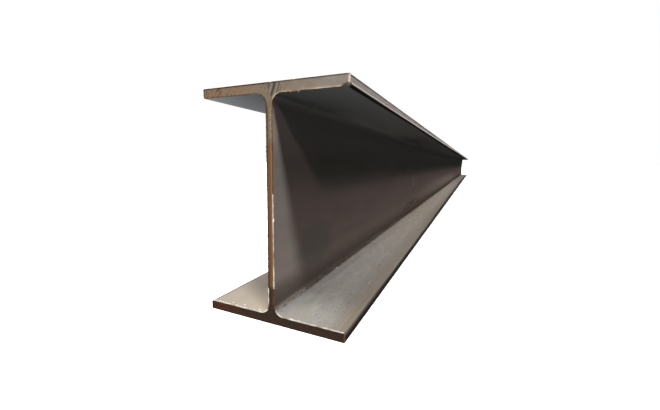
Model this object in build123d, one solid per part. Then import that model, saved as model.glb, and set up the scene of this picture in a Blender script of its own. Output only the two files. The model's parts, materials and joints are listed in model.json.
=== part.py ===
from build123d import *
from math import isclose
import os

# Hot-rolled steel H-beam: one bar of wide-flange section, sawn square at both ends.
# Sizes are in millimetres. +X runs along the bar, away from the near end. +Y goes across
# the flanges and +Z up the web. The origin is the middle of the underside.

# The bar, as cut to length
BAR_LENGTH = 6000.0

# The rolled section
SECTION_DEPTH = 294.0
FLANGE_WIDTH = 200.0
WEB_THICKNESS = 8.0
FLANGE_THICKNESS = 12.0
ROOT_RADIUS = 13.0
# The rolls leave each flange toe rounder on the side that faces the web
TOE_INNER_RADIUS = 3.0
TOE_OUTER_RADIUS = 1.5

# The toe corner that was knocked blunt in handling: how far the bruise reaches along each edge
BRUISE_ALONG_BAR = 5.0
BRUISE_ACROSS_FLANGE = 9.5
BRUISE_UP_TOE = 4.0

NEAR_END = -BAR_LENGTH / 2


def corners(section: BuildSketch, width: float, height: float) -> ShapeList:
    """The corners that lie on a rectangle of this width and height about the section's middle."""
    return section.vertices().filter_by(
        lambda corner: isclose(2 * abs(corner.X), width) and isclose(2 * abs(corner.Y), height)
    )


def rolled_section() -> Sketch:
    """The face of the cut, drawn about its own middle: two flanges and the web between them."""
    clear_height = SECTION_DEPTH - 2 * FLANGE_THICKNESS
    flange_middle = (SECTION_DEPTH - FLANGE_THICKNESS) / 2
    with BuildSketch() as section:
        Rectangle(WEB_THICKNESS, clear_height)
        with Locations((0, -flange_middle), (0, flange_middle)):
            Rectangle(FLANGE_WIDTH, FLANGE_THICKNESS)
        fillet(corners(section, WEB_THICKNESS, clear_height), ROOT_RADIUS)
        fillet(corners(section, FLANGE_WIDTH, clear_height), TOE_INNER_RADIUS)
        fillet(corners(section, FLANGE_WIDTH, SECTION_DEPTH), TOE_OUTER_RADIUS)
    return section.sketch


def bruise_block() -> Part:
    """A block whose inner face is the bruise. It reaches one toe corner and nothing else."""
    corner = Vector(NEAR_END, -FLANGE_WIDTH / 2, SECTION_DEPTH - FLANGE_THICKNESS)
    along_bar = corner + Vector(BRUISE_ALONG_BAR, 0, 0)
    across_flange = corner + Vector(0, BRUISE_ACROSS_FLANGE, 0)
    up_toe = corner + Vector(0, 0, BRUISE_UP_TOE)
    outward = (up_toe - along_bar).cross(across_flange - along_bar)
    bruise = Plane(origin=(along_bar + across_flange + up_toe) / 3, z_dir=outward)
    reach = 2 * max(BRUISE_ALONG_BAR, BRUISE_ACROSS_FLANGE, BRUISE_UP_TOE)
    return bruise * Box(reach, reach, reach, align=(Align.CENTER, Align.CENTER, Align.MIN))


def h_beam() -> Part:
    """The section drawn out along the bar, with the bruised corner taken off."""
    section_plane = Plane(origin=(NEAR_END, 0, SECTION_DEPTH / 2), x_dir=(0, 1, 0), z_dir=(1, 0, 0))
    bar = extrude(section_plane * rolled_section(), amount=BAR_LENGTH)
    return bar - bruise_block()


os.makedirs("parts", exist_ok=True)
export_step(h_beam(), "parts/h_beam.step")
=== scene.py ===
import json
from bisect import bisect_left
from collections import Counter, defaultdict, namedtuple
from functools import partial
from math import cos, hypot, pi, radians, sin

import bmesh
import bpy
import numpy as np
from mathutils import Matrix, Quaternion, Vector, noise
from mathutils.bvhtree import BVHTree
from mathutils.geometry import delaunay_2d_cdt


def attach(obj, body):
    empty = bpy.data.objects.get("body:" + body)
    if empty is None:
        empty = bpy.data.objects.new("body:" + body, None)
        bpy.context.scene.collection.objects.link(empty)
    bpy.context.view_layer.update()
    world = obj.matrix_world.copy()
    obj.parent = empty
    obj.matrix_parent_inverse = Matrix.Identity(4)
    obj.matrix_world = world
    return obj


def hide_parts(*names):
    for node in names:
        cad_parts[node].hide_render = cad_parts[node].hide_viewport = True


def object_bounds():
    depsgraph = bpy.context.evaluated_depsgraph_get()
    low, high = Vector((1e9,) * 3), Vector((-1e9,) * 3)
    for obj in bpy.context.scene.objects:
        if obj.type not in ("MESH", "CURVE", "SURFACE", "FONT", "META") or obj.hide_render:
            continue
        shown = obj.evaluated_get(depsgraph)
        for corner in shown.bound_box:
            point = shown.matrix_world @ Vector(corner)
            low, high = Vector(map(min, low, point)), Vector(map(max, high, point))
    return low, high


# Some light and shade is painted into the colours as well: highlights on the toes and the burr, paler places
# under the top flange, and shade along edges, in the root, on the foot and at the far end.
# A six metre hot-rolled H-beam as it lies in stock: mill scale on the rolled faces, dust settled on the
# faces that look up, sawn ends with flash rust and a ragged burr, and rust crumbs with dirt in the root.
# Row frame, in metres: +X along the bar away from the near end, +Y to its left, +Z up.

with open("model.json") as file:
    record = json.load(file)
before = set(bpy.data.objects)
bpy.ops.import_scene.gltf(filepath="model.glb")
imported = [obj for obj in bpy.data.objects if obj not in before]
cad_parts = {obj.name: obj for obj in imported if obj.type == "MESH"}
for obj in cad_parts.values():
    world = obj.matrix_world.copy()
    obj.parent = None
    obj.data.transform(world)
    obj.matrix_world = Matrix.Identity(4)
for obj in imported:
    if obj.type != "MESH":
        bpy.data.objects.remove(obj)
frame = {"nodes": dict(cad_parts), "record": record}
cad_low, cad_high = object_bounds()

MM = 0.001
CAD_BAR = frame["nodes"]["h_beam"]
NEAR_END = cad_low.x
FAR_END = cad_high.x
HALF_WIDTH = cad_high.y
DEPTH = cad_high.z


def mount_place(name):
    """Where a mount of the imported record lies."""
    return next(m["pos_m"] for m in frame["record"]["mounts"] if m["name"] == name)


WEB_HALF = mount_place("web_face_left")[1]
BOTTOM_INNER = mount_place("bottom_flange_inner_right")[2]
TOP_INNER = mount_place("top_flange_inner_right")[2]
ROOT_RADIUS = 13 * MM

# The bruised toe corner and the scraped place beside the top root, and how many mm each mark reaches
# along, across and up
BRUISED_CORNER = Vector((NEAR_END, -HALF_WIDTH, TOP_INNER))
BRUISE_REACH = 14 * MM
BRUISE_STAIN = (6.5, 11, 5.5)
SCRAPED_PLACE = Vector((NEAR_END, -WEB_HALF, 249 * MM))
SCRAPED_REACH = (17, 4.6, 25)

# The photograph's view, worked out from the bar's corners: the camera stands in front of the near end,
# to the right of the web and a little lower than the top flange.
CAMERA_BEFORE_END = 307.3 * MM
CAMERA_RIGHT_OF_WEB = 220.5 * MM
CAMERA_HEIGHT = 203.9 * MM
CAMERA_YAW = radians(24.655)
CAMERA_PITCH = radians(-7.777)
CAMERA_ROLL = radians(0.705)
SENSOR_WIDTH = 36.0
LENS = 17.008
CLIP_START, CLIP_END = 0.01, 500.0

# The skin is laid in rings round the section: close together at a cut, where the burr is, and far apart
# along the plain length. Each ring's outline is stepped to match. Rings are by their mm from the cut, and
# the last one ends the near stretch.
FINE_STEP = 0.7 * MM
MIDDLE_STEP = 2.0 * MM
COARSE_STEP = 12.0 * MM
NEAR_STRETCH = 360.0
RINGS = [
    (FINE_STEP, [0.0, 0.35, 0.7, 1.1, 1.6, 2.4, 4.0, 7.0]),
    (MIDDLE_STEP, [12.0, 20.0, 32.0, 50.0]),
    (COARSE_STEP, [100.0, 200.0, NEAR_STRETCH]),
]
PLAIN_BAYS = 20
CAP_GRID = 1.1 * MM
CAP_GRID_ROOM = 0.7 * CAP_GRID
CAP_RIM = 0.5 * MM
ROOT_ROOM = 14 * MM
BURR_REACH = 1.5 * MM
BURR_END = BURR_REACH + 0.2 * MM
SHARP_ANGLE = radians(40)

# What still counts as on a face, what counts as one place, and what is lost in rounding
HAIR = 0.1 * MM
SAME_PLACE = 0.01 * MM
ROUNDING = 1e-9

# Seeds of the relief at each cut and of the loose grains, and the bar's finishes
SEEDS = {"near": 3, "far": 23, "crumb places": 5, "crumb shapes": 11, "grit shapes": 12}
ROLLED, SAWN, BURR = range(3)

# The map for baking, in pixels of a 1024 square: finest on the near stretch and the two ends. The strip
# beside each cut, as far as EDGE_SHEET, is folded out round that end.
BAKE_SIZE = 1024
BAKE_EDGE = 4
NEAR_PITCH = 1.38 * MM
PLAIN_PITCH = 3.76 * MM
END_PITCH = 0.80 * MM
PLAIN_TOPS = (272, 641)
END_CORNERS = {"near": (758, 272), "far": (758, 650)}
END_BORDER = 2.6 * MM
EDGE_SHEET = 2.4 * MM + ROUNDING
NEAR_STRETCH_END = NEAR_END + NEAR_STRETCH * MM
HALF_STRETCH = (FAR_END - NEAR_STRETCH_END) / 2


def pair_up(points):
    """Each point of a closed loop with the next one."""
    return zip(points, points[1:] + points[:1])


def section_corners(bar):
    """The rolled section as a closed loop of (y, z), anticlockwise, read off the CAD bar's far end."""
    decimals = 7
    vertices = bar.data.vertices
    spots = {v.index: (round(v.co.y, decimals), round(v.co.z, decimals))
             for v in vertices if v.co.x > FAR_END - SAME_PLACE}
    sides = Counter()
    for face in bar.data.polygons:
        ring = list(face.vertices)
        if all(i in spots for i in ring):
            sides.update(frozenset((spots[a], spots[b])) for a, b in pair_up(ring))
    beside = defaultdict(list)
    for side, uses in sides.items():
        if uses == 1:
            a, b = side
            beside[a].append(b)
            beside[b].append(a)
    loop = [min(beside)]
    loop.append(beside[loop[0]][0])
    while loop[-1] != loop[0]:
        loop.append([p for p in beside[loop[-1]] if p != loop[-2]][0])
    loop.pop()
    area = sum(a[0] * b[1] - b[0] * a[1] for a, b in pair_up(loop))
    return loop if area > 0 else loop[::-1]


class Outline:
    """The section's outline with its long flats divided into steps."""

    def __init__(self, corners, step):
        self.points, self.run, travelled = [], [], 0.0
        for a, b in pair_up(corners):
            length = hypot(b[0] - a[0], b[1] - a[1])
            parts = max(1, round(length / step))
            for share in (i / parts for i in range(parts)):
                self.points.append((a[0] + (b[0] - a[0]) * share, a[1] + (b[1] - a[1]) * share))
                self.run.append(travelled + length * share)
            travelled += length
        self.girth = travelled
        before = self.points[-1:] + self.points[:-1]
        after = self.points[1:] + self.points[:1]
        self.outward = []
        for a, b in zip(before, after):
            length = hypot(b[0] - a[0], b[1] - a[1])
            self.outward.append(((b[1] - a[1]) / length, (a[0] - b[0]) / length))


def ragged(run, size, seed):
    """Uneven heights along a cut edge, about -1 to 1, with bumps about size long."""
    return noise.noise((run / size, seed, 0.37 * seed)) * 1.6


# The burr round the cut, from the top flange down: the lowest z of each stretch in mm, and on the right and
# the left of the web the height in mm of its ridge and of the beads on it, and how fresh its steel is. Fresh
# steel is painted pale, partly as a painted glint
TOP_STRETCH = 281.0
BURR_STRETCHES = [
    (TOP_STRETCH, (0.5, 2.4, 0.45), (0.15, 0.2, 0.0)),
    (262.0, (0.5, 0.3, 0.50), (0.15, 0.3, 0.0)),
    (226.0, (0.0, 0.2, 0.35), (0.15, 0.5, 0.0)),
    (165.0, (0.3, 0.6, 0.20), (0.2, 0.9, 0.0)),
    (47.0, (0.4, 1.9, 0.90), (0.2, 0.9, 0.0)),
    (19.0, (0.3, 1.0, 0.15), (0.5, 0.3, 0.8)),
    (0.0, (1.6, 0.9, 1.5), (1.5, 1.2, 1.5)),
]
# On the right, the top flange's beads shrink to this share further out than this
BEADS_END, SMALL_BEADS = 45 * MM, 0.25
# How long its uneven places are, and over what length it dies away towards a toe
RIDGE_LENGTH, BEAD_LENGTH, FRESH_LENGTH, TOE_FADE = 5 * MM, 2.8 * MM, 9 * MM, 9 * MM


def burr_kind(y, z):
    """The burr's ridge, beads and freshness at this place of the outline."""
    right, left = next(kinds for low, *kinds in BURR_STRETCHES if z > low * MM)
    ridge, beads, fresh = right if y < 0 else left
    if z > TOP_STRETCH * MM and y < -BEADS_END:
        beads *= SMALL_BEADS
    return ridge, beads, fresh


# The right toes have their cut edge rubbed back to a narrow bevel: its depth and how fresh its steel is. The
# top one is painted pale beside the bruise, partly as a painted highlight.
TOP_BEVEL = (1.4 * MM, 0.65)
FOOT_BEVEL = (1.2 * MM, 0.1)
TOE_ROUNDING = 3 * MM
TOE_FLAT = 0.3 * MM


def bevel_at(y, z):
    """The bevel at this place of the outline. The rounded corners have its steel but not its depth."""
    if y > -HALF_WIDTH + TOE_ROUNDING:
        return 0.0, 0.0
    depth, fresh = TOP_BEVEL if z > TOP_INNER - HAIR else FOOT_BEVEL
    return (depth if y < -HALF_WIDTH + TOE_FLAT else 0.0), fresh


def bevel_depth(point, distance):
    """How far the bevel takes this place of the toe inward."""
    return max(0.0, bevel_at(*point)[0] - distance)


def burr_at(point, outward, run, seed):
    """How far the saw's burr stands off the face at the cut, and how fresh it is. Outer faces have none."""
    y, z = point
    on_toe = abs(outward[0]) > 0.3 and abs(y) > 0.5 * HALF_WIDTH
    if on_toe or z < BOTTOM_INNER - HAIR or z > TOP_INNER + HAIR:
        return 0.0, bevel_at(y, z)[1]
    ridge, beads, fresh = burr_kind(y, z)
    ridge *= 0.8 + 0.5 * ragged(run, RIDGE_LENGTH, seed)
    ridge += beads * max(0.0, ragged(run, BEAD_LENGTH, seed + 7) - 0.2)
    to_toe = min(1.0, max(0.0, (HALF_WIDTH - abs(y)) / TOE_FADE))
    return ridge * to_toe * MM, fresh * (0.65 + 0.5 * ragged(run, FRESH_LENGTH, seed + 3))


# An outline facing up this squarely is a flat top. On the foot, rust also reaches this far up the root.
FACES_UP = 0.9
RUSTY_ROOT = 9 * MM


def edge_rust(point, outward):
    """How dark with rust the sawn face is along this place of its outline: not where the burr is fresh."""
    y, z = point
    if outward[1] > FACES_UP and z > TOP_INNER:
        return 1.0 if y > 0 else 0.6
    return 1.0 if y > 0 or z < BOTTOM_INNER + RUSTY_ROOT else 0.0


# Dents in the top edge of the near cut: place across the flange, depth and width, in mm. They reach a
# little further along the bar than across it.
NICKS = [(-2.4, 0.6, 1.5), (-34.2, 0.5, 1.2), (-60.0, 0.3, 0.9)]
NICK_SPREAD = 0.7


def nick_depth(point, outward, distance):
    """How deep the nearest dent bites at this place of the top face."""
    y, z = point
    if outward[1] < FACES_UP or z < 0.99 * DEPTH:
        return 0.0
    along = NICK_SPREAD * distance / MM
    bites = [depth * max(0.0, 1 - hypot(y / MM - middle, along) / width) for middle, depth, width in NICKS]
    return max(bites) * MM


# The blade swung about this point over the top flange, so its marks are arcs round it. They are plainest
# within ENTRY_REACH of where it entered and fade over ENTRY_FADE to FAINT_MARKS.
BLADE_SWING = (46.0 * MM, 306.0 * MM)
BLADE_MARK_STEP = 6.5 * MM
BLADE_ENTRY = -8.0 * MM
ENTRY_REACH, ENTRY_FADE, FAINT_MARKS = 15 * MM, 30 * MM, 0.25
# How far the sawn face lies inside the end plane, and its relief: how much, and how long
CUT_INSET, CUT_MARKS, CUT_WANDER, CUT_TEARS = 0.28 * MM, 0.10 * MM, 0.07 * MM, 0.05 * MM
WANDER_SIZE, TEAR_SIZE = 12 * MM, 3 * MM


def cut_place(end, y, z):
    """A place on an end's sawn face, which lies a little inside the end plane: blade marks and tears."""
    seed = SEEDS[end]
    swing = hypot(y - BLADE_SWING[0], z - BLADE_SWING[1])
    wander = noise.noise((y / WANDER_SIZE, z / WANDER_SIZE, seed))
    marks = sin(2 * pi * swing / BLADE_MARK_STEP + 3 * wander)
    past_entry = max(0.0, hypot(y - BLADE_ENTRY, z - DEPTH) - ENTRY_REACH)
    marks *= max(FAINT_MARKS, 1 - past_entry / ENTRY_FADE)
    tears = noise.noise((y / TEAR_SIZE, z / TEAR_SIZE, seed + 5))
    depth = CUT_INSET + CUT_MARKS * marks + CUT_WANDER * wander + CUT_TEARS * tears
    return (NEAR_END + depth if end == "near" else FAR_END - depth), y, z


def ring_plan():
    """Every ring of the skin: the end that it is nearer to, its x, its distance from that end's cut, and
    its outline's step."""
    steps = [(distance * MM, step) for step, distances in RINGS for distance in distances]
    last = steps[-1][0]
    bay = (FAR_END - NEAR_END - 2 * last) / PLAIN_BAYS
    plan = [(NEAR_END + distance, distance, step) for distance, step in steps]
    plan += [(NEAR_END + last + bay * i, last, COARSE_STEP) for i in range(1, PLAIN_BAYS)]
    plan += [(FAR_END - distance, distance, step) for distance, step in reversed(steps)]
    return [("near" if x < 0 else "far", x, distance, step) for x, distance, step in plan]


def strip(lower, upper):
    """Faces between two rings. A ring is a list of corners, each (vertex, run, ...), and its last entry
    closes it."""
    if len(lower) == len(upper):
        for i in range(len(lower) - 1):
            yield lower[i], lower[i + 1], upper[i + 1], upper[i]
        return
    a = b = 0
    while a < len(lower) - 1 or b < len(upper) - 1:
        lower_next = lower[a + 1][1] if a < len(lower) - 1 else float("inf")
        upper_next = upper[b + 1][1] if b < len(upper) - 1 else float("inf")
        if lower_next <= upper_next:
            yield lower[a], lower[a + 1], upper[b]
            a += 1
        else:
            yield lower[a], upper[b + 1], upper[b]
            b += 1


def within(rim, points):
    """Which of the points lie inside a closed rim, and how far each is from the rim's own points."""
    batches = 40
    rim = np.array(rim)
    after = np.roll(rim, -1, axis=0)
    inside, away = [], []
    for part in np.array_split(np.array(points), batches):
        y, z = part[:, :1], part[:, 1:]
        spans = (rim[:, 1] > z) != (after[:, 1] > z)
        rise = np.where(after[:, 1] == rim[:, 1], 1.0, after[:, 1] - rim[:, 1])
        slope = (after[:, 0] - rim[:, 0]) / rise
        crossings = (spans & (y < rim[:, 0] + slope * (z - rim[:, 1]))).sum(axis=1)
        inside.append(crossings % 2 == 1)
        away.append(np.hypot(y - rim[:, 0], z - rim[:, 1]).min(axis=1))
    return np.concatenate(inside), np.concatenate(away)


def grid_within(rim):
    """A grid of points inside the rim, none of them close to it."""
    (low_y, low_z), (high_y, high_z) = np.min(rim, axis=0), np.max(rim, axis=0)
    across, up = np.arange(low_y, high_y, CAP_GRID), np.arange(low_z, high_z, CAP_GRID)
    grid = [(y, z) for y in across for z in up
            if abs(y) < WEB_HALF + ROOT_ROOM or not BOTTOM_INNER < z < TOP_INNER]
    inside, away = within(rim, grid)
    return [point for point, kept in zip(grid, inside & (away > CAP_GRID_ROOM)) if kept]


class Skin:
    """The bar's skin while it is laid: vertices, faces, their finish and their place in the bake map."""

    def __init__(self, corners):
        self.outlines = {step: Outline(corners, step) for step, _ in RINGS}
        self.girth = self.outlines[FINE_STEP].girth
        self.places, self.fresh, self.rust = [], [], []
        self.faces, self.finishes, self.map_places = [], [], []

    def add_place(self, place, fresh=0.0, rust=0.0):
        """One vertex, by its number."""
        self.places.append(place)
        self.fresh.append(fresh)
        self.rust.append(rust)
        return len(self.places) - 1

    def add_ring(self, end, x, distance, step):
        """One ring of vertices. The burr stands off the inner faces, and dents bite into the top one."""
        line = self.outlines[step]
        fading = max(0.0, 1 - (distance / BURR_REACH) ** 1.5)
        ring = []
        for point, outward, run in zip(line.points, line.outward, line.run):
            lift, fresh = 0.0, 0.0
            if distance <= BURR_END:
                lift, fresh = burr_at(point, outward, run, SEEDS[end])
            lift *= fading
            if end == "near":
                lift -= nick_depth(point, outward, distance) + bevel_depth(point, distance)
            place = (x, point[0] + outward[0] * lift, point[1] + outward[1] * lift)
            ring.append((self.add_place(place, fresh), run))
        return ring + [(ring[0][0], self.girth)]

    def add_rim(self, end):
        """The ring where the burr's foot meets the sawn face, a little inside the outline."""
        line = self.outlines[FINE_STEP]
        ring = []
        for point, outward, run in zip(line.points, line.outward, line.run):
            inset = CAP_RIM + (bevel_depth(point, 0.0) if end == "near" else 0.0)
            place = cut_place(end, point[0] - outward[0] * inset, point[1] - outward[1] * inset)
            fresh = burr_at(point, outward, run, SEEDS[end])[1]
            ring.append((self.add_place(place, fresh, edge_rust(point, outward)), run))
        return ring + [(ring[0][0], self.girth)]

    def end_place(self, end, y, z):
        """A place on an end's sheet of the bake map."""
        left, low = END_CORNERS[end]
        across = HALF_WIDTH - y if end == "near" else HALF_WIDTH + y
        return left + (across + END_BORDER) / END_PITCH, low + (z + END_BORDER) / END_PITCH

    def edge_place(self, end, run, distance):
        """The same for the strip beside the cut, folded out flat."""
        line = self.outlines[FINE_STEP]
        i = bisect_left(line.run, run - ROUNDING) % len(line.run)
        y, z = line.points[i]
        return self.end_place(end, y + line.outward[i][0] * distance, z + line.outward[i][1] * distance)

    def side_place(self, sheet, run, x):
        """A place on the sheets for the bar's length: the near stretch, and half 0 and half 1 of the rest."""
        if sheet == "near":
            return BAKE_EDGE + run / NEAR_PITCH, BAKE_EDGE + (x - NEAR_END) / NEAR_PITCH
        start = NEAR_STRETCH_END + HALF_STRETCH * sheet
        return BAKE_EDGE + (x - start) / PLAIN_PITCH, PLAIN_TOPS[sheet] + (self.girth - run) / PLAIN_PITCH

    def add_face(self, corners, finish, map_places):
        """One face, by its vertices' numbers, with the place of each on the bake map."""
        self.faces.append(corners)
        self.finishes.append(finish)
        self.map_places.extend((u / BAKE_SIZE, v / BAKE_SIZE) for u, v in map_places)

    def add_strip(self, lower, upper, lower_at, upper_at, finish, map_place):
        """Faces between two rings. lower_at and upper_at are their x, or distances from the cut, and
        map_place turns a run and one of these into a place on the bake map."""
        lower = [(*corner, lower_at) for corner in lower]
        upper = [(*corner, upper_at) for corner in upper]
        for corners in strip(lower, upper):
            self.add_face([vertex for vertex, _, _ in corners], finish,
                          [map_place(run, at) for _, run, at in corners])

    def add_cap(self, rim, end):
        """The sawn face itself."""
        inside_only = 1
        loop = [vertex for vertex, _ in rim[:-1]]
        outline = [self.places[vertex][1:] for vertex in loop]
        inner = grid_within(outline)
        numbers = loop + [self.add_place(cut_place(end, y, z)) for y, z in inner]
        edges = [(i, (i + 1) % len(loop)) for i in range(len(loop))]
        flat = [Vector(point) for point in outline + inner]
        _, _, triangles, sources, _, _ = delaunay_2d_cdt(flat, edges, [], inside_only, ROUNDING)
        for face in triangles:
            corners = [numbers[sources[i][0]] for i in face]
            if end == "near":
                corners.reverse()
            self.add_face(corners, SAWN, [self.end_place(end, *self.places[c][1:]) for c in corners])


def follow_bruise(places):
    """Brings what stands outside the CAD bar round its bruised corner back onto it."""
    mesh = CAD_BAR.data
    cad = BVHTree.FromPolygons([v.co for v in mesh.vertices], [p.vertices for p in mesh.polygons])
    for i, place in enumerate(places):
        place = Vector(place)
        if (place - BRUISED_CORNER).length < BRUISE_REACH:
            nearest, facing, _, away = cad.find_nearest(place)
            if away > SAME_PLACE and (place - nearest).dot(facing) > 0:
                places[i] = tuple(nearest)


def place_in_scene(name, data):
    """Puts a mesh, a lamp or a camera into the scene as an object."""
    thing = bpy.data.objects.new(name, data)
    bpy.context.scene.collection.objects.link(thing)
    return thing


def lay_bar():
    """The whole bar as one closed mesh that stands for the CAD node."""
    skin = Skin(section_corners(CAD_BAR))
    plan = ring_plan()
    near_rim = skin.add_rim("near")
    rings = [skin.add_ring(*ring) for ring in plan]
    far_rim = skin.add_rim("far")
    skin.add_strip(near_rim, rings[0], -CAP_RIM, 0.0, BURR, partial(skin.edge_place, "near"))
    for here, there, lower, upper in zip(plan, plan[1:], rings, rings[1:]):
        (end, x, distance, _), (_, next_x, next_distance, _) = here, there
        reach = max(distance, next_distance)
        if reach <= EDGE_SHEET:
            finish = BURR if reach <= BURR_END else ROLLED
            map_place = partial(skin.edge_place, end)
            skin.add_strip(lower, upper, distance, next_distance, finish, map_place)
        else:
            in_near_stretch = next_x < NEAR_STRETCH_END + SAME_PLACE
            half = int((x + next_x) / 2 > NEAR_STRETCH_END + HALF_STRETCH)
            map_place = partial(skin.side_place, "near" if in_near_stretch else half)
            skin.add_strip(lower, upper, x, next_x, ROLLED, map_place)
    skin.add_strip(rings[-1], far_rim, 0.0, -CAP_RIM, BURR, partial(skin.edge_place, "far"))
    skin.add_cap(near_rim, "near")
    skin.add_cap(far_rim, "far")
    follow_bruise(skin.places)

    mesh = bpy.data.meshes.new("rolled_bar")
    mesh.from_pydata(skin.places, [], skin.faces)
    mesh.polygons.foreach_set("material_index", skin.finishes)
    mesh.polygons.foreach_set("use_smooth", [True] * len(skin.faces))
    mesh.set_sharp_from_angle(angle=SHARP_ANGLE)
    bake_map = mesh.uv_layers.new(name="OFBake")
    bake_map.data.foreach_set("uv", [n for place in skin.map_places for n in place])
    for name, values in (("fresh_burr", skin.fresh), ("edge_rust", skin.rust)):
        mesh.attributes.new(name, "FLOAT", "POINT").data.foreach_set("value", values)
    return place_in_scene("rolled_bar", mesh)


# A point of the surface: its place, whole and in parts
Spot = namedtuple("Spot", "place x y z")
# The node that most masks are made of, and what asks add for all of a node's outputs
MAP_RANGE = "ShaderNodeMapRange"
ALL = slice(None)


def linear(colour):
    """A hex sRGB colour as the linear colour that shaders take."""
    channels = [int(colour[i:i + 2], 16) / 255 for i in (1, 3, 5)]
    return tuple(c / 12.92 if c <= 0.04045 else ((c + 0.055) / 1.055) ** 2.4 for c in channels) + (1.0,)


def add(tree, kind, feeds, out=0, **settings):
    """Adds a node with its settings, fills in or links its inputs, and gives back one of its outputs."""
    made = tree.nodes.new(kind)
    for name, value in settings.items():
        setattr(made, name, value)
    for name, value in feeds.items():
        if isinstance(value, bpy.types.NodeSocket):
            tree.links.new(value, made.inputs[name])
        else:
            made.inputs[name].default_value = value
    return made.outputs[out]


def patches(tree, spot, size, low, high, longer=1.0, shift=0.0, most=1.0, detail=3.0, turn=0.0):
    """A mask of soft patches about size mm across, longer times as long along the bar, up to most strong.
    With a turn, the long way lies across the section instead and slants by that angle."""
    long_way, short_way = 1 / (size * MM * longer), 1 / (size * MM)
    scale = (short_way, long_way, short_way) if turn else (long_way, short_way, short_way)
    turned = add(tree, "ShaderNodeMapping", {"Vector": spot.place, "Rotation": (turn, 0.0, 0.0)})
    feeds = {"Vector": turned, "Scale": scale, "Location": (shift, shift, shift)}
    spread = add(tree, "ShaderNodeMapping", feeds)
    cloud = add(tree, "ShaderNodeTexNoise", {"Vector": spread, "Scale": 1.0, "Detail": detail})
    return add(tree, MAP_RANGE, {"Value": cloud, "From Min": low, "From Max": high, "To Max": most})


def stain(tree, spot, centre, reach, softness=0.5):
    """A mask of one soft-edged oval: 1 in its middle, 0 past its reach in mm."""
    away = add(tree, "ShaderNodeVectorMath", {0: spot.place, 1: centre}, operation="SUBTRACT")
    shares = add(tree, "ShaderNodeVectorMath", {0: away, 1: Vector(reach) * MM}, operation="DIVIDE")
    far = add(tree, "ShaderNodeVectorMath", {0: shares}, out="Value", operation="LENGTH")
    limits = {"Value": far, "From Min": 1.0, "From Max": 1.0 - softness}
    return add(tree, MAP_RANGE, limits, interpolation_type="SMOOTHSTEP")


def slanting(tree, spot, across, start, end, none_at, full_at, most=1.0):
    """A mask that grows across a face, from none_at to full_at. Each is a pair, for the start and the end
    of a stretch of the bar in metres from the near end, so the mask's edge slants."""
    stretch = {"Value": spot.x, "From Min": NEAR_END + start, "From Max": NEAR_END + end}
    none, full = (add(tree, MAP_RANGE, {**stretch, "To Min": first, "To Max": last})
                  for first, last in (none_at, full_at))
    return add(tree, MAP_RANGE, {"Value": across, "From Min": none, "From Max": full, "To Max": most})


def coats(tree, ground, layers):
    """A ground with coats over it, each a mask and a colour. A colour is a hex value or another coat."""
    colour = linear(ground) if isinstance(ground, str) else ground
    for mask, over in layers:
        over = linear(over) if isinstance(over, str) else over
        colour = add(tree, "ShaderNodeMix", {0: mask, 6: colour, 7: over}, out=2, data_type="RGBA")
    return colour


def new_finish(name):
    """A material with an empty node tree, and the spot that it is asked about."""
    material = bpy.data.materials.new(name)
    material.use_nodes = True
    tree = material.node_tree
    tree.nodes.clear()
    place = add(tree, "ShaderNodeTexCoord", {}, out="Object")
    return material, tree, Spot(place, *add(tree, "ShaderNodeSeparateXYZ", {"Vector": place}, out=ALL))


def shade(tree, colour, roughness, height=None, height_size=0.1 * MM, **plain):
    """The surface shader, with its bump and its plain settings."""
    feeds = {"Base Color": colour, "Roughness": roughness}
    if height is not None:
        bump = {"Height": height, "Distance": height_size, "Strength": 1.0}
        feeds["Normal"] = add(tree, "ShaderNodeBump", bump)
    feeds.update({name.replace("_", " "): value for name, value in plain.items()})
    surface = add(tree, "ShaderNodeBsdfPrincipled", feeds)
    add(tree, "ShaderNodeOutputMaterial", {"Surface": surface}, out=ALL)


def on_web(along, height):
    """A place on the web's right face, by its mm along and up."""
    return NEAR_END + along * MM, -WEB_HALF, height * MM


# Near black, for the painted shade along the top toe's lower edge and the underside beside it
EDGE_SHADE = "#16130f"


def scrape(tree, spot, softness, bare, speckled):
    """The coat of the scraped place beside the top root: speckled bare steel."""
    scraped = stain(tree, spot, SCRAPED_PLACE, SCRAPED_REACH, softness=softness)
    speckle = patches(tree, spot, 1.3, 0.45, 0.60, shift=7.0, detail=1.0)
    return scraped, coats(tree, bare, [(speckle, speckled)])


def web_scale_with_painted_light(tree, spot):
    """The scale itself, as the web shows it: thick and greenish places, broad streaks, a pale weld mark, a
    dusty far stretch, and mottling low down beside the near cut. Its top, in the top flange's shade, is
    painted paler as painted light."""
    streaks = patches(tree, spot, 11, 0.40, 0.70, longer=40, shift=4.0, most=0.5)
    thick = patches(tree, spot, 60, 0.45, 0.65, longer=2, shift=9.0, most=0.5)
    green = stain(tree, spot, on_web(115, 80), (70, 9, 45))
    # Painted light: the top of the web, in the top flange's shade, is painted paler
    high = add(tree, MAP_RANGE, {"Value": spot.z, "From Min": 205 * MM, "From Max": 245 * MM})
    far_dust = stain(tree, spot, on_web(2600, 75), (1900, 60, 55), softness=0.9)
    weld_mark = stain(tree, spot, on_web(955, 132), (8, 9, 36))
    low_front = stain(tree, spot, on_web(20, 32), (90, 20, 26), softness=0.7)
    mottle = patches(tree, spot, 1.9, 0.42, 0.62, shift=18.0, most=low_front, detail=1.0)
    return coats(tree, "#7a7670", [
        (thick, "#726b64"), (streaks, "#817b74"), (green, "#6d6f68"), (high, "#8b8985"),
        (far_dust, "#a39b90"), (weld_mark, "#a39a93"), (mottle, "#4d4641")])


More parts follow.
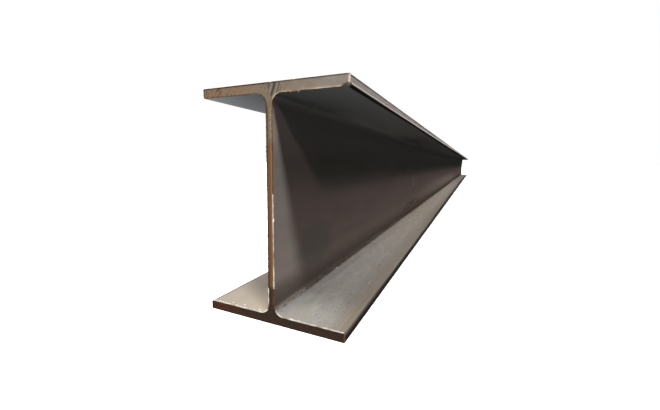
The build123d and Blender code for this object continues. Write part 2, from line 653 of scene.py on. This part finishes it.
def settled_dust_and_painted_light(tree, spot, fine_streaks):
    """What lies on the faces that look up: grey dust in films, warmer further along, with dark specks, and
    beige dust on the left of the web. Painted shade darkens and warms the strip by the right toe and turns
    the right toe's far edge black; painted light makes the left flange paler and greener beside the web."""
    warm_far, far_dull = (
        add(tree, MAP_RANGE, {
            "Value": spot.x, "From Min": NEAR_END + start, "From Max": NEAR_END + end, "To Max": most})
        for start, end, most in ((0.15, 0.7, 0.7), (2.4, 4.4, 0.8)))
    # Painted shade darkens the strip by the right toe; painted light pales the left flange beside the web
    toe_strip_shade, near_web_light, left, left_edge = (
        add(tree, MAP_RANGE, {"Value": spot.y, "From Min": none * MM, "From Max": full * MM, "To Max": most})
        for none, full, most in ((-60, -95, 1.0), (65, 12, 0.8), (0, 20, 1.0), (94, 96, 1.0)))
    warm_dust = patches(tree, spot, 40, 0.45, 0.62, longer=4, shift=2.0, most=0.6)
    film = patches(tree, spot, 9, 0.42, 0.60, longer=2.5, shift=6.0, most=0.7)
    pale_film = patches(tree, spot, 14, 0.50, 0.66, longer=3, shift=16.0, most=0.6)
    dark_specks = patches(tree, spot, 3.2, 0.67, 0.72, longer=1.5, shift=3.0, detail=1.0)
    speck_beds = patches(tree, spot, 45, 0.48, 0.58, longer=2, shift=21.0)
    specks = add(tree, "ShaderNodeMath", {0: dark_specks, 1: speck_beds}, operation="MULTIPLY")
    # Painted shade: a black strip along the right toe's top edge past the first stretch, wider further on
    far_edge_shade = slanting(tree, spot, spot.y, 0.3, 3.0, (-98 * MM, -74 * MM), (-100 * MM, -84 * MM))
    beige = coats(tree, "#655f57", [
        (warm_dust, "#686157"), (film, "#635d55"), (pale_film, "#69635a"), (near_web_light, "#726d5d")])
    return coats(tree, "#626261", [
        (warm_dust, "#68645d"), (warm_far, "#7b7162"), (film, "#5e5e5b"), (pale_film, "#70706c"),
        (toe_strip_shade, "#514a40"), (fine_streaks, "#73716c"), (specks, "#383530"), (far_dull, "#4b453e"),
        (far_edge_shade, "#14110e"), (left, beige), (left_edge, "#33261b")])


def toes_worn_and_painted_light(tree, spot):
    """The toes, paler partly from rubbing in handling and partly as painted light: the top flange's with a
    painted highlight along its lower edge and painted shade along both edges, and the foot's darker, partly
    with dirt and partly as painted shade, and painted black further on as painted shade."""
    lines = patches(tree, spot, 2.2, 0.40, 0.60, longer=400, shift=12.0, most=0.4)
    on_foot = add(tree, MAP_RANGE, {"Value": spot.z, "From Min": 30 * MM, "From Max": 20 * MM})
    # Painted shade: the foot toe is darker along its lower edge and near black from a quarter metre on
    foot_edge_shade = add(tree, MAP_RANGE, {"Value": spot.z, "From Min": 9 * MM, "From Max": 6 * MM})
    black_far_shade = add(tree, MAP_RANGE, {
        "Value": spot.x, "From Min": NEAR_END + 0.01, "From Max": NEAR_END + 0.26, "To Max": 0.9})
    # The foot toe's dark ground is partly dirt, partly painted shade
    foot_toe_dirt_and_shade = coats(tree, "#443d36", [(lines, "#524a41"), (foot_edge_shade, "#1c1815"), (black_far_shade, "#0f0c0a")])
    dull, top_shade_ends = (
        add(tree, MAP_RANGE, {"Value": spot.x, "From Min": NEAR_END + start, "From Max": NEAR_END + end})
        for start, end in ((0.2, 0.7), (1.5, 1.1)))
    # Painted highlight: a pale band along the top toe's lower edge, wider further on
    shine = slanting(tree, spot, spot.z, 0.15, 1.3, (286.4 * MM, 291 * MM), (284.8 * MM, 284.8 * MM))
    # Painted shade: a dark line along the top toe's upper edge, fading out past about a metre
    top_edge_shade = slanting(tree, spot, spot.z, 0.1, 0.8, (290.9 * MM, 288.8 * MM),
                         (291.6 * MM, 291.6 * MM), most=top_shade_ends)
    # Painted shade: a black line along the top toe's lower edge, wider further on
    low_edge_shade = slanting(tree, spot, spot.z, 0.9, 2.4, (284.2 * MM, 288.5 * MM), (283.4 * MM, 283.4 * MM))
    # The top toe's pale ground is partly wear, partly painted light
    return coats(tree, "#938d85", [
        (lines, "#a19b93"), (dull, "#857f76"), (shine, "#f3f2ea"), (top_edge_shade, "#241d18"),
        (low_edge_shade, EDGE_SHADE), (on_foot, foot_toe_dirt_and_shade)])


def flange_underside(tree, spot, out_wide):
    """The faces that look down: clean grey scale, painted paler towards the toe and along the first metre as
    painted light, with a black line of painted shade by the toe further on."""
    # Painted light: the underside is paler towards the toe and along the first metre
    to_toe = add(tree, MAP_RANGE, {"Value": out_wide, "From Min": 10 * MM, "From Max": 95 * MM})
    near_metre_light = stain(tree, spot, (NEAR_END + 0.42, 0.0, DEPTH), (420, 200, 200), softness=0.8)
    far = add(tree, MAP_RANGE, {"Value": spot.x, "From Min": NEAR_END + 0.6, "From Max": NEAR_END + 1.4})
    # Painted shade: a black line by the toe, wider further on
    toe_line_shade = slanting(tree, spot, out_wide, 0.4, 2.2, (95.2 * MM, 76 * MM), (96 * MM, 84 * MM))
    return coats(tree, "#646464", [
        (to_toe, "#8d8d8a"), (near_metre_light, "#a3a4a3"), (far, "#85888c"), (toe_line_shade, EDGE_SHADE)])


def root_coats(tree, spot, far_root_shade):
    """The coats of the root: a dark band of painted shade low on the web, browner along the second metre on
    the right, painted shade low in the right-hand root further on, and loose marks.
    """
    along = add(tree, MAP_RANGE, {"Value": spot.x, "From Min": NEAR_END + 0.05, "From Max": NEAR_END + 0.11})
    above_bend = add(tree, MAP_RANGE, {
        "Value": spot.z, "From Min": 23.2 * MM, "From Max": 19.8 * MM, "To Min": 1.0, "To Max": along})
    # Painted shade: the web is painted darker low down, towards the root
    band = add(tree, MAP_RANGE, {
        "Value": spot.z, "From Min": 60 * MM, "From Max": 30 * MM, "To Max": above_bend})
    brown = stain(tree, spot, on_web(1400, 26), (900, 20, 20))
    marked = stain(tree, spot, on_web(950, 45), (220, 30, 30))
    marks = patches(tree, spot, 7, 0.48, 0.55, longer=5, shift=14.0, most=0.8)
    loose_marks = add(tree, "ShaderNodeMath", {0: marked, 1: marks}, operation="MULTIPLY")
    return [(band, "#4b443e"), (brown, "#5c4b3b"), (far_root_shade, "#453b32"), (loose_marks, "#4b3b2d")]


def root_dirt_and_shade(tree, spot):
    """A mask of a dark line in the bend of the right-hand root, broken into bits: partly dirt, partly painted
    shade in the crease.
    """
    bend = stain(tree, spot, (0, -6 * MM, 18.5 * MM), (1e6, 4, 4), softness=0.6)
    along = add(tree, MAP_RANGE, {
        "Value": spot.x, "From Min": NEAR_END + 0.05, "From Max": NEAR_END + 0.09, "To Min": 0.5})
    bits = patches(tree, spot, 2.0, 0.35, 0.55, longer=3, shift=5.0, most=along)
    return add(tree, "ShaderNodeMath", {0: bend, 1: bits}, operation="MULTIPLY")


def mill_scale():
    """Hot-rolled structural steel: a hard grey to brown oxide skin, matt, with lengthwise roller streaks.
    The eye sees a quiet, slightly mottled web, dusty faces that look up, rubbed toes and a dark root. Light
    and shade are painted in places too: on the web, the toes, the undersides, the root and the far end."""
    material, tree, spot = new_finish("hot_rolled_mill_scale")
    facing = add(tree, "ShaderNodeNewGeometry", {}, out="Normal")
    _, facing_y, facing_z = add(tree, "ShaderNodeSeparateXYZ", {"Vector": facing}, out=ALL)
    fine_streaks = patches(tree, spot, 2.5, 0.40, 0.70, longer=40, most=0.2)

    # The dust coat reaches steeper faces close to the cut than further along. Near the cut that is painted
    # light, where the key lights the root; further along it keeps the root darker as painted shade
    steepest_dust_and_light = add(tree, MAP_RANGE, {
        "Value": spot.x, "From Min": NEAR_END + 0.05, "From Max": NEAR_END + 0.11,
        "To Min": 0.15, "To Max": 0.48})
    looks_up = slanting(tree, spot, facing_z, 0.7, 1.9, (steepest_dust_and_light, 0.62), (0.72, 0.84))
    looks_down = add(tree, MAP_RANGE, {"Value": facing_z, "From Min": -0.7, "From Max": -0.8})
    sideways = add(tree, "ShaderNodeMath", {0: facing_y}, operation="ABSOLUTE")
    out_wide = add(tree, "ShaderNodeMath", {0: spot.y}, operation="ABSOLUTE")
    by_toe = add(tree, MAP_RANGE, {"Value": out_wide, "From Min": 97 * MM, "From Max": 98 * MM})
    on_toe = add(tree, MAP_RANGE, {"Value": sideways, "From Min": 0.55, "From Max": 0.7, "To Max": by_toe})

    right_side = add(tree, "ShaderNodeMath", {0: spot.y, 1: 0.0}, operation="LESS_THAN")
    # Painted shade: the low right-hand root past the first stretch is painted darker, and its sheen is
    # lowered
    far_along = add(tree, MAP_RANGE, {
        "Value": spot.x, "From Min": NEAR_END + 0.3, "From Max": NEAR_END + 0.9})
    far_low = add(tree, MAP_RANGE, {
        "Value": spot.z, "From Min": 33 * MM, "From Max": 25 * MM, "To Max": far_along})
    far_root_shade = add(tree, "ShaderNodeMath", {0: far_low, 1: right_side}, operation="MULTIPLY")
    # Painted shade: the right side is painted near black towards the far end
    far_end_shade = add(tree, MAP_RANGE, {
        "Value": spot.x, "From Min": FAR_END - 0.45, "From Max": FAR_END - 0.15, "To Max": right_side})
    bruise = stain(tree, spot, BRUISED_CORNER, BRUISE_STAIN, softness=0.2)

    colour = coats(tree, web_scale_with_painted_light(tree, spot), [
        *root_coats(tree, spot, far_root_shade),
        (looks_up, settled_dust_and_painted_light(tree, spot, fine_streaks)),
        (looks_down, flange_underside(tree, spot, out_wide)),
        (on_toe, toes_worn_and_painted_light(tree, spot)),
        scrape(tree, spot, 0.15, "#a0978b", "#7d736a"),
        (bruise, "#a08c7c"), (root_dirt_and_shade(tree, spot), "#332d27"), (far_end_shade, "#14110f")])
    shine = add(tree, MAP_RANGE, {"Value": far_root_shade, "To Min": 0.3, "To Max": 0.02})
    shade(tree, colour, roughness=0.72, height=fine_streaks, height_size=0.05 * MM, Specular_IOR_Level=shine)
    return material


def blade_marks(tree, spot):
    """The blade's marks: arcs by their distance from where it swung, and masks of the dark and of the pale
    ones, which show where it entered over the web."""
    swing = add(tree, "ShaderNodeVectorMath", {0: spot.place, 1: (NEAR_END, *BLADE_SWING)}, out="Value",
                operation="DISTANCE")
    steps = add(tree, "ShaderNodeMath", {0: swing, 1: BLADE_MARK_STEP}, operation="DIVIDE")
    arcs = add(tree, "ShaderNodeTexNoise", {"W": steps, "Scale": 1.8, "Detail": 2.0}, noise_dimensions="1D")
    entry = stain(tree, spot, (NEAR_END, BLADE_ENTRY, 288 * MM), (20, 10, 14), softness=0.3)
    dark, pale = (
        add(tree, MAP_RANGE, {"Value": arcs, "From Min": none, "From Max": full, "To Max": entry})
        for none, full in ((0.48, 0.55), (0.45, 0.38)))
    return arcs, dark, pale


def top_of_cut(tree, spot, edge, dark_arcs, pale_arcs):
    """The top flange's part of the cut: tan to the left, greyer to the right, with scratches and arcs."""
    cloud = patches(tree, spot, 14, 0.35, 0.65, most=0.5)
    left, right, neck, in_web = (
        add(tree, MAP_RANGE, {"Value": way, "From Min": none * MM, "From Max": full * MM})
        for way, none, full in ((spot.y, 20, 60), (spot.y, -10, -70), (spot.z, 280, 264), (spot.z, 272, 262)))
    scratches = patches(tree, spot, 2.4, 0.54, 0.62, longer=5, turn=radians(50), shift=2.0, most=left)
    brown_left = add(tree, MAP_RANGE, {
        "Value": spot.y, "From Min": 0.4 * MM, "From Max": 2.2 * MM, "To Max": in_web})
    bruise = stain(tree, spot, BRUISED_CORNER, BRUISE_STAIN, softness=0.2)
    return coats(tree, "#7a6c5b", [
        (left, "#816850"), (right, "#8e887e"), (neck, "#75604b"), (cloud, "#6e6050"),
        (scratches, "#4a3e35"), (dark_arcs, "#463d38"), (pale_arcs, "#7b746a"), (bruise, "#857468"),
        (brown_left, "#5b3d26"), scrape(tree, spot, 0.3, "#8b7f6b", "#645643"), (edge, "#4a2e18")])


def web_of_cut(tree, spot, edge, grain):
    """The web's part of the cut: browner, with a paler right band and a dark left edge."""
    low, right, left = (
        add(tree, MAP_RANGE, {"Value": way, "From Min": none * MM, "From Max": full * MM})
        for way, none, full in ((spot.z, 210, 90), (spot.y, -0.5, -2.5), (spot.y, 2.2, 3.6)))
    return coats(tree, "#6d4a2e", [
        (low, "#684529"), (grain, "#573d25"), (right, "#7d5f40"), (left, "#351a09"), (edge, "#241005")])


def foot_of_cut(tree, spot, edge):
    """The foot's part of the cut, gone dark, partly with rust where it lay in the wet and partly as painted
    shade, less so on the right of the web.
    """
    rust = patches(tree, spot, 16, 0.45, 0.60, shift=1.0, most=0.6)
    left = add(tree, MAP_RANGE, {"Value": spot.y, "From Min": 45 * MM, "From Max": 75 * MM})
    right = add(tree, MAP_RANGE, {"Value": spot.y, "From Min": 0.5 * MM, "From Max": -1.5 * MM})
    right_web = add(tree, MAP_RANGE, {
        "Value": spot.z, "From Min": 20 * MM, "From Max": 30 * MM, "To Max": right})
    grain = patches(tree, spot, 2.4, 0.45, 0.60, most=0.8, shift=19.0, detail=1.0)
    return coats(tree, "#32271f", [
        (rust, "#402919"), (left, "#4a2a16"), (right_web, "#54361f"), (grain, "#2c1e16"), (edge, "#120a06")])


def sawn_end():
    """Saw-cut carbon steel with flash rust. The eye sees tan-brown to grey metal, arcs of blade marks, a
    browner web with a dark left edge, and a lower flange gone dark, partly with rust where it lay in the wet
    and partly as painted shade."""
    material, tree, spot = new_finish("sawn_end_flash_rust")
    grain = patches(tree, spot, 1.6, 0.35, 0.65, most=0.6, shift=8.0)
    arcs, dark_arcs, pale_arcs = blade_marks(tree, spot)
    rust = add(tree, "ShaderNodeAttribute", {}, out="Fac", attribute_name="edge_rust")
    edge = add(tree, MAP_RANGE, {"Value": rust, "From Min": 0.2, "From Max": 0.8})
    web = add(tree, MAP_RANGE, {"Value": spot.z, "From Min": 232 * MM, "From Max": 222 * MM})
    # The foot's part of the cut is painted dark, partly as painted shade
    foot = add(tree, MAP_RANGE, {"Value": spot.z, "From Min": 50 * MM, "From Max": 47 * MM})
    left_tip = add(tree, MAP_RANGE, {
        "Value": spot.y, "From Min": 97.5 * MM, "From Max": 98.5 * MM, "To Max": edge})
    colour = coats(tree, top_of_cut(tree, spot, edge, dark_arcs, pale_arcs), [
        (web, web_of_cut(tree, spot, edge, grain)), (foot, foot_of_cut(tree, spot, edge)),
        (left_tip, "#0c0705")])
    height = add(tree, "ShaderNodeMath", {0: arcs, 1: grain}, operation="ADD")
    shade(tree, colour, roughness=0.65, height=height, Specular_IOR_Level=0.2)
    return material


def burr_metal():
    """The saw's burr: torn steel, pale where fresh and brown where it has rusted; the freshest is painted
    near white, partly as a painted glint. The eye sees a pale, ragged line along the cut."""
    material, tree, spot = new_finish("torn_burr_steel")
    cloud = patches(tree, spot, 3, 0.40, 0.60)
    fresh = add(tree, "ShaderNodeAttribute", {}, out="Fac", attribute_name="fresh_burr")
    tan = add(tree, MAP_RANGE, {"Value": fresh, "From Max": 0.45})
    # Painted highlight: the freshest steel is painted near white, partly as a glint
    fresh_and_glint = add(tree, MAP_RANGE, {"Value": fresh, "From Min": 0.35, "From Max": 0.85})
    torn = coats(tree, "#ece3d3", [(cloud, "#fdfcf8")])
    shade(tree, coats(tree, "#2a170b", [(tan, "#a58562"), (fresh_and_glint, torn)]), roughness=0.45)
    return material


def loose_scale():
    """Crumbs of mill scale and rust that have dropped into the root. The eye sees dull grey-brown grains."""
    material, tree, spot = new_finish("loose_rusty_scale")
    grains = patches(tree, spot, 1.5, 0.48, 0.62, detail=1.0)
    shade(tree, coats(tree, "#262320", [(grains, "#625a4f")]), roughness=0.9)
    return material


def pale_grit():
    """Grains of dry mortar and sand. The eye sees a few near-white specks."""
    material, tree, spot = new_finish("dry_pale_grit")
    grains = patches(tree, spot, 1.0, 0.40, 0.60, detail=1.0)
    shade(tree, coats(tree, "#b8b0a2", [(grains, "#d8d2c6")]), roughness=0.9)
    return material


def floor_finish():
    """Smooth pale painted studio floor. The eye sees next to nothing of it."""
    material, tree, spot = new_finish("pale_studio_floor")
    cloud = patches(tree, spot, 400, 0.3, 0.7, most=0.3)
    shade(tree, coats(tree, "#f2f2f1", [(cloud, "#f6f6f5")]), roughness=0.9)
    return material


# How uneven a grain is, and the least and most that it is drawn out along, across and up
GRAIN_BUMPS = (0.7, 1.2)
GRAIN_LEAST, GRAIN_MOST = (0.8, 0.8, 0.5), (1.5, 1.1, 0.8)


def heap_grains(name, spots, finish, seed):
    """Small uneven grains as one mesh, each half sunk at its spot: a place, the way out and a radius."""
    ball = bmesh.new()
    bmesh.ops.create_icosphere(ball, subdivisions=1, radius=1.0)
    shape = np.array([v.co for v in ball.verts])
    sides = np.array([[v.index for v in f.verts] for f in ball.faces])
    ball.free()
    draw = np.random.default_rng(seed)
    places, faces = [], []
    for place, out, radius in spots:
        grain = shape * draw.uniform(*GRAIN_BUMPS, (len(shape), 1)) * draw.uniform(GRAIN_LEAST, GRAIN_MOST)
        turn = Vector(out).to_track_quat("Z", "X") @ Quaternion((0, 0, 1), draw.uniform(0, 2 * pi))
        faces.extend((sides + len(places)).tolist())
        places.extend(grain @ np.array(turn.to_matrix()).T * radius + place)
    mesh = bpy.data.meshes.new(name)
    mesh.from_pydata([tuple(p) for p in places], [], faces)
    mesh.materials.append(finish)
    heap = place_in_scene(name, mesh)
    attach(heap, "root")


def in_root(along, slope, radius):
    """A grain's spot on the right-hand root fillet. The slope is its angle from the fillet's centre."""
    centre = np.array((NEAR_END + along, -WEB_HALF - ROOT_RADIUS, BOTTOM_INNER + ROOT_RADIUS))
    away = np.array((0.0, cos(slope), sin(slope)))
    return centre + away * ROOT_RADIUS, -away, radius


def on_flange(along, across, radius):
    """A grain's spot on the bottom flange, with all three sizes in mm."""
    return np.array((NEAR_END + along * MM, across * MM, BOTTOM_INNER)), (0, 0, 1), radius * MM


# A bed of fine crumbs close to the cut
NEAR_CRUMBS = 90
NEAR_CRUMB_REACH = 85 * MM
NEAR_CRUMB_SLOPES = (-50, -12)
NEAR_CRUMB_SIZES = (0.2, 0.55)
# Crumbs along the root up to CRUMB_LAST. They lie a few degrees lower past CRUMB_SETTLES. Their sizes are
# squared, so most are small.
CRUMBS = 560
CRUMB_START = 2 * MM
CRUMB_REACH = 150 * MM
CRUMB_LAST = 1600 * MM
CRUMB_SLOPE, CRUMB_SLOPE_DROP, CRUMB_SLOPE_SPREAD = -31, 4, 5
CRUMB_SETTLES = 110 * MM
CRUMB_SIZES = (0.3, 0.95)
# Single crumbs by their place along and across the bottom flange, in mm, with their radius
SINGLE_CRUMBS = [
    (54, -66, 1.3), (103, -68, 1.1), (350, -67, 2.4), (414, -65, 2.0), (316, -31, 1.6), (253, -69, 1.6),
    (67, -30, 0.9), (98, -39, 1.0), (104, -43, 0.8), (149, -31, 1.2), (2.9, 74.5, 0.6), (1.5, 56, 0.6),
    (86, -27, 0.8), (121, -34, 1.0), (160, -52, 1.2), (210, -40, 1.4)]


def crumb_spots():
    """Crumbs in the right-hand root, which thin out along the bar, and single ones on the flange."""
    draw = np.random.default_rng(SEEDS["crumb places"])
    for number in range(NEAR_CRUMBS + CRUMBS):
        if number < NEAR_CRUMBS:
            along = draw.uniform(0, NEAR_CRUMB_REACH)
            slope = draw.uniform(*NEAR_CRUMB_SLOPES)
            radius = draw.uniform(*NEAR_CRUMB_SIZES) * MM
        else:
            along = draw.gamma(2.0, CRUMB_REACH)
            drop = CRUMB_SLOPE_DROP * (1 - np.exp(-along / CRUMB_SETTLES))
            slope = CRUMB_SLOPE - drop + draw.normal(0, CRUMB_SLOPE_SPREAD)
            radius = draw.uniform(*CRUMB_SIZES) ** 2 * MM
        if along < CRUMB_LAST:
            yield in_root(CRUMB_START + along, radians(slope), radius)
    for crumb in SINGLE_CRUMBS:
        yield on_flange(*crumb)


# Grains of pale grit on the bottom flange, told in the same way
GRIT = [(6.6, 67.4, 1.0), (7.8, 48.8, 1.0), (2.0, 50.2, 0.6), (5.6, 22.6, 0.7), (3.3, -36.6, 0.6),
        (158, -78.9, 1.1), (5.2, 59.0, 0.4), (9.5, 42.1, 0.4), (4.4, 36.0, 0.5), (3.0, 29.0, 0.5),
        (0.9, -97.4, 0.5)]
# In the root, by mm along, slope in degrees and radius in mm
ROOT_GRIT = [(71, -34, 0.9), (190, -42, 1.4)]


def grit_spots():
    """Pale grit on the bottom flange and in the right-hand root."""
    for grain in GRIT:
        yield on_flange(*grain)
    for along, slope, radius in ROOT_GRIT:
        yield in_root(along * MM, radians(slope), radius * MM)


def lay_floor():
    """A plain disc that runs to the horizon. It sends no light back up: the dome gives that fill."""
    mesh = bpy.data.meshes.new("studio_floor")
    outline = bmesh.new()
    bmesh.ops.create_circle(outline, cap_ends=True, radius=90.0, segments=128)
    outline.to_mesh(mesh)
    outline.free()
    mesh.materials.append(floor_finish())
    floor = place_in_scene("studio_floor", mesh)
    floor.visible_diffuse = False
    floor.visible_glossy = False


# Studio lights: the direction that each stands in, its strength, its size in degrees and its tint. The key
# stands high ahead of the near end, to the right, so the top flange shades all of the web but a wedge by
# the cut. The top light does the same to the bottom flange. The two from the lower right open a second
# wedge and the lower half of the web. The others serve the sides that these leave dark.
LIGHTS = {
    "key_light": ((-0.27, -0.35, 1.0), 4.3, 9, "#fffdf8"),
    "top_light": ((-0.21, 0.02, 1.0), 3.0, 13, "#fffdf8"),
    "low_front_light": ((-1.1, -0.76, 1.0), 0.52, 5, "#ffd9dc"),
    "right_soft_light": ((0.0, -0.75, 1.0), 0.55, 18, "#ffd9dc"),
    "left_soft_light": ((-0.2, 0.5, 1.0), 3.05, 50, "#fffaf2"),
    "left_low_light": ((0.3, 1.0, 0.5), 1.2, 20, "#fffaf2"),
    "back_light": ((1.0, 0.0, 0.4), 2.0, 30, "#ffffff"),
}

# White cards low down, which send light up under the top flange: each one's middle in mm from the near
# end, to the left and up, the place that it faces in the same way, its width in mm and its power
CARDS = {
    "front_card": ((-450, 60, 50), (0, 0, 294), 300, 1.5),
    "left_card": ((260, 520, 40), (120, 60, 282), 300, 3.0),
}
CARD_TINT = "#f1f9ff"

# The dome's strength low down and overhead, and the heights between which it grows
DOME_STRENGTHS = (0.055, 0.10)
DOME_HEIGHTS = (-0.1, 0.6)


def turn_to(thing, turn):
    """Turns a light, a card or the camera."""
    thing.rotation_mode = "QUATERNION"
    thing.rotation_quaternion = turn


def hang_lights():
    for name, (towards, strength, across, tint) in LIGHTS.items():
        lamp = bpy.data.lights.new(name, "SUN")
        lamp.energy = strength
        lamp.color = linear(tint)[:3]
        lamp.angle = radians(across)
        turn_to(place_in_scene(name, lamp), Vector(towards).to_track_quat("Z", "Y"))


def stand_cards():
    for name, (middle, faces, width, power) in CARDS.items():
        lamp = bpy.data.lights.new(name, "AREA")
        lamp.size = width * MM
        lamp.energy = power
        lamp.color = linear(CARD_TINT)[:3]
        card = place_in_scene(name, lamp)
        card.location = Vector((NEAR_END, 0.0, 0.0)) + Vector(middle) * MM
        card.visible_camera = False
        turn_to(card, Vector(a - b for a, b in zip(middle, faces)).to_track_quat("Z", "Y"))


def hang_dome():
    """A white studio wall all round. It gives a weak fill, mostly from above."""
    world = bpy.data.worlds.new("studio_dome")
    world.use_nodes = True
    tree = world.node_tree
    tree.nodes.clear()
    towards = add(tree, "ShaderNodeTexCoord", {}, out="Generated")
    height = add(tree, "ShaderNodeSeparateXYZ", {"Vector": towards}, out="Z")
    fill = add(tree, MAP_RANGE, {
        "Value": height, "From Min": DOME_HEIGHTS[0], "From Max": DOME_HEIGHTS[1],
        "To Min": DOME_STRENGTHS[0], "To Max": DOME_STRENGTHS[1]})
    seen = add(tree, "ShaderNodeLightPath", {}, out="Is Camera Ray")
    strength = add(tree, MAP_RANGE, {"Value": seen, "To Min": fill, "To Max": 1.0})
    wall = add(tree, "ShaderNodeBackground", {"Color": linear("#ffffff"), "Strength": strength})
    add(tree, "ShaderNodeOutputWorld", {"Surface": wall}, out=ALL)
    bpy.context.scene.world = world


def place_camera():
    lens = bpy.data.cameras.new("photo_camera")
    lens.sensor_width = SENSOR_WIDTH
    lens.lens = LENS
    lens.clip_start = CLIP_START
    lens.clip_end = CLIP_END
    camera = place_in_scene("photo_camera", lens)
    camera.location = (NEAR_END - CAMERA_BEFORE_END, -CAMERA_RIGHT_OF_WEB, CAMERA_HEIGHT)
    level = cos(CAMERA_PITCH)
    ahead = Vector((cos(CAMERA_YAW) * level, sin(CAMERA_YAW) * level, sin(CAMERA_PITCH)))
    turn_to(camera, ahead.to_track_quat("-Z", "Y") @ Quaternion((0, 0, 1), CAMERA_ROLL))
    bpy.context.scene.camera = camera


place_camera()
bpy.context.scene.view_settings.view_transform = "Standard"
bar = lay_bar()
for finish in (mill_scale(), sawn_end(), burr_metal()):
    bar.data.materials.append(finish)
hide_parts("h_beam")
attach(bar, "root")
heap_grains("root_crumbs", crumb_spots(), loose_scale(), SEEDS["crumb shapes"])
heap_grains("flange_grit", grit_spots(), pale_grit(), SEEDS["grit shapes"])
lay_floor()
hang_lights()
stand_cards()
hang_dome()
